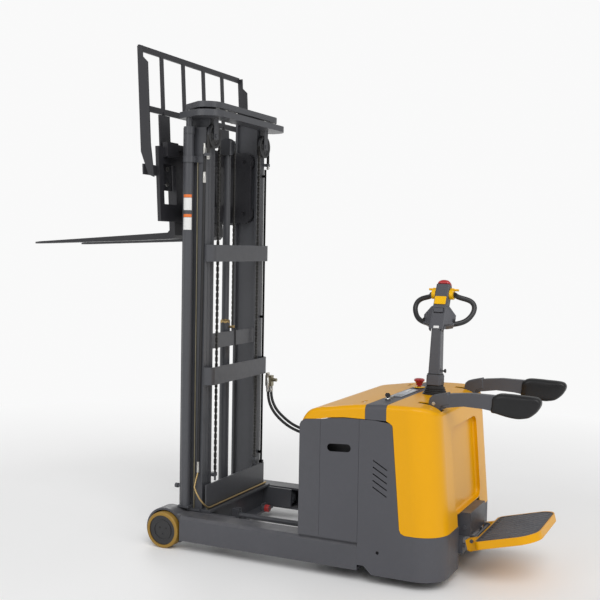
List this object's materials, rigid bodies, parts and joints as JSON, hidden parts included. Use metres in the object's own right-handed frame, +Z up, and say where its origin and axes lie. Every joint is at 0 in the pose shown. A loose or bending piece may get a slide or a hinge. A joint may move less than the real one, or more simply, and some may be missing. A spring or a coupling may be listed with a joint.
{
  "type": "reach stacker",
  "caption": "Stand-on electric reach stacker: straddle legs, reaching telescopic mast with tilting forks and backrest, yellow hood, steering tiller, folding side arms and platform",
  "frame": {"origin": "floor level under the middle of the whole truck", "axes": "+X towards the fork tips, +Y to the truck's left, +Z up"},
  "size_m": [3.2868, 1.18, 2.8891],
  "materials": {
    "frame_grey": "satin powder coat",
    "mast_grey": "satin powder coat",
    "fork_black": "satin black paint",
    "shell_grey": "fine moulded texture",
    "cover_yellow": "gloss moulding",
    "platform_yellow": "satin paint",
    "paddle_yellow": "semi gloss moulding",
    "battery_grey": "plain",
    "cast_black": "painted castings",
    "wheel_ochre": "cast polyurethane",
    "wheel_black": "solid rubber",
    "hub_black": "satin black paint",
    "plated_steel": "zinc plated",
    "rubber_black": "matt",
    "grip_black": "fine grained",
    "red_plastic": "gloss",
    "chain_steel": "oiled"
  },
  "bodies": {
    "chassis": {"chassis_frame": "frame_grey", "straddle_leg_left": "frame_grey", "straddle_leg_right": "frame_grey", "reach_cylinder": "mast_grey", "rear_shell_left": "shell_grey", "rear_shell_right": "shell_grey", "rear_hood": "cover_yellow", "dash_strip": "shell_grey", "battery_pack": "battery_grey", "drive_bay_units": "cast_black", "arm_brackets": "frame_grey", "platform_bracket": "frame_grey"},
    "lid": {"battery_lid": "cover_yellow"},
    "door_left": {"battery_door_left": "shell_grey"},
    "door_right": {"battery_door_right": "shell_grey"},
    "load_wheel_left": {"load_hub_left": "hub_black", "load_tyre_left": "wheel_ochre"},
    "load_wheel_right": {"load_hub_right": "hub_black", "load_tyre_right": "wheel_ochre"},
    "steering": {"drive_unit": "cast_black", "steer_turret": "frame_grey", "tiller_boot": "rubber_black"},
    "traction_wheel": {"drive_wheel": "wheel_black"},
    "castor_left": {"castor_fork_left": "plated_steel"},
    "castor_right": {"castor_fork_right": "plated_steel"},
    "castor_roller_left": {"castor_wheel_left": "wheel_black"},
    "castor_roller_right": {"castor_wheel_right": "wheel_black"},
    "tiller": {"tiller_column": "frame_grey", "tiller_head": "shell_grey", "handle_loops": "grip_black"},
    "throttle": {"throttle_paddles": "paddle_yellow"},
    "belly": {"belly_button": "red_plastic"},
    "rocker": {"lift_rocker": "shell_grey"},
    "stop_button": {"estop_button": "red_plastic"},
    "key": {"ignition_key": "plated_steel"},
    "arm_left": {"side_arm_left": "frame_grey", "arm_pad_left": "grip_black"},
    "arm_right": {"side_arm_right": "frame_grey", "arm_pad_right": "grip_black"},
    "platform": {"platform_frame": "platform_yellow", "platform_mat": "rubber_black"},
    "mast_base": {"reach_carriage": "mast_grey", "outer_uprights": "mast_grey", "lift_cylinders": "mast_grey", "mast_hydraulics": "plated_steel", "fixed_chain_runs": "chain_steel", "reach_hose_1": "rubber_black", "reach_hose_2": "rubber_black"},
    "middle_stage": {"middle_mast": "mast_grey"},
    "sheave_left": {"chain_sheave_left": "cast_black"},
    "sheave_right": {"chain_sheave_right": "cast_black"},
    "inner_stage": {"inner_mast": "mast_grey", "side_chain_runs": "chain_steel", "free_lift_chain": "chain_steel"},
    "free_lift": {"free_lift_rod": "mast_grey"},
    "carriage": {"lift_carriage": "fork_black"},
    "fork_group": {"fork_frame": "fork_black", "load_backrest": "fork_black", "fork_left": "fork_black", "fork_right": "fork_black"}
  },
  "joints": [
    {"name": "load_wheel_left_spin", "type": "hinge", "parent": "chassis", "child": "load_wheel_left", "pos_m": [0.47758, 0.48, 0.105], "axis": [0, 1, 0], "continuous": true},
    {"name": "castor_left_swivel", "type": "hinge", "parent": "chassis", "child": "castor_left", "pos_m": [-0.92042, 0.285, 0.2], "axis": [0, 0, 1], "continuous": true},
    {"name": "castor_left_spin", "type": "hinge", "parent": "castor_left", "child": "castor_roller_left", "pos_m": [-0.95542, 0.285, 0.07], "axis": [0, 1, 0], "continuous": true},
    {"name": "arm_left_fold", "type": "hinge", "parent": "chassis", "child": "arm_left", "pos_m": [-1.08942, 0.34, 0.912], "axis": [0, -1, 0], "range_deg": [-88, 0]},
    {"name": "door_left_lift_off", "type": "slide", "parent": "chassis", "child": "door_left", "axis": [0, 1, 0], "range_m": [0, 0.25]},
    {"name": "load_wheel_right_spin", "type": "hinge", "parent": "chassis", "child": "load_wheel_right", "pos_m": [0.47758, -0.48, 0.105], "axis": [0, 1, 0], "continuous": true},
    {"name": "castor_right_swivel", "type": "hinge", "parent": "chassis", "child": "castor_right", "pos_m": [-0.92042, -0.285, 0.2], "axis": [0, 0, 1], "continuous": true},
    {"name": "castor_right_spin", "type": "hinge", "parent": "castor_right", "child": "castor_roller_right", "pos_m": [-0.95542, -0.285, 0.07], "axis": [0, 1, 0], "continuous": true},
    {"name": "arm_right_fold", "type": "hinge", "parent": "chassis", "child": "arm_right", "pos_m": [-1.08942, -0.34, 0.912], "axis": [0, -1, 0], "range_deg": [-88, 0]},
    {"name": "door_right_lift_off", "type": "slide", "parent": "chassis", "child": "door_right", "axis": [0, -1, 0], "range_m": [0, 0.25]},
    {"name": "lid_open", "type": "hinge", "parent": "chassis", "child": "lid", "pos_m": [-0.40242, 0, 0.799], "axis": [0, 1, 0], "range_deg": [0, 80]},
    {"name": "steer_turn", "type": "hinge", "parent": "chassis", "child": "steering", "pos_m": [-0.98042, 0, 0.3], "axis": [0, 0, 1], "range_deg": [0, 180]},
    {"name": "traction_spin", "type": "hinge", "parent": "steering", "child": "traction_wheel", "pos_m": [-0.98042, 0, 0.115], "axis": [1, 0, 0], "continuous": true},
    {"name": "tiller_tilt", "type": "hinge", "parent": "steering", "child": "tiller", "pos_m": [-0.98042, 0, 0.985], "axis": [-1, 0, 0], "range_deg": [0, 65]},
    {"name": "throttle_turn", "type": "hinge", "parent": "tiller", "child": "throttle", "pos_m": [-0.98042, -0.11674, 1.50489], "axis": [1, 0, 0], "range_deg": [-20, 20], "stiffness_Nm_per_rad": 0.3},
    {"name": "belly_press", "type": "slide", "parent": "tiller", "child": "belly", "axis": [0, 0.4337, -0.9011], "range_m": [0, 0.0035], "stiffness_N_per_m": 600},
    {"name": "rocker_tip", "type": "hinge", "parent": "tiller", "child": "rocker", "pos_m": [-0.98042, -0.0371, 1.41781], "axis": [1, 0, 0], "range_deg": [-8, 8], "stiffness_Nm_per_rad": 0.1},
    {"name": "stop_press", "type": "slide", "parent": "chassis", "child": "stop_button", "axis": [0, 0, -1], "range_m": [0, 0.006]},
    {"name": "key_turn", "type": "hinge", "parent": "chassis", "child": "key", "pos_m": [-0.82242, 0.33, 0.94], "axis": [0, 0, 1], "range_deg": [0, 90]},
    {"name": "platform_fold", "type": "hinge", "parent": "chassis", "child": "platform", "pos_m": [-1.26442, 0, 0.205], "axis": [0, 1, 0], "range_deg": [-14, 74]},
    {"name": "mast_reach", "type": "slide", "parent": "chassis", "child": "mast_base", "axis": [1, 0, 0], "range_m": [-0.55, 0], "deforming": ["reach_hose_1", "reach_hose_2"]},
    {"name": "middle_lift", "type": "slide", "parent": "mast_base", "child": "middle_stage", "axis": [0, 0, 1], "range_m": [0, 1.45], "deforming": ["fixed_chain_runs"]},
    {"name": "sheave_left_turn", "type": "hinge", "parent": "middle_stage", "child": "sheave_left", "pos_m": [0.28658, 0.312, 2.392], "axis": [1, 0, 0], "range_deg": [-1342, 2]},
    {"name": "sheave_right_turn", "type": "hinge", "parent": "middle_stage", "child": "sheave_right", "pos_m": [0.28658, -0.312, 2.392], "axis": [1, 0, 0], "range_deg": [-2, 1342]},
    {"name": "inner_lift", "type": "slide", "parent": "middle_stage", "child": "inner_stage", "axis": [0, 0, 1], "range_m": [0, 1.45], "deforming": ["side_chain_runs"]},
    {"name": "carriage_lift", "type": "slide", "parent": "inner_stage", "child": "carriage", "axis": [0, 0, 1], "range_m": [-1.65, 0.02], "deforming": ["free_lift_chain"]},
    {"name": "free_lift_stroke", "type": "slide", "parent": "inner_stage", "child": "free_lift", "axis": [0, 0, 1], "range_m": [-0.826, 0.011]},
    {"name": "fork_tilt", "type": "hinge", "parent": "carriage", "child": "fork_group", "pos_m": [0.52258, 0, 1.96], "axis": [0, 1, 0], "range_deg": [-4, 0]}
  ],
  "couplings": [
    {"joint": "inner_lift", "follows": "middle_lift", "ratio": 1},
    {"joint": "sheave_left_turn", "follows": "middle_lift", "rad_per_m": -16.129},
    {"joint": "sheave_right_turn", "follows": "middle_lift", "rad_per_m": 16.129},
    {"joint": "free_lift_stroke", "follows": "carriage_lift", "ratio": 0.5}
  ]
}
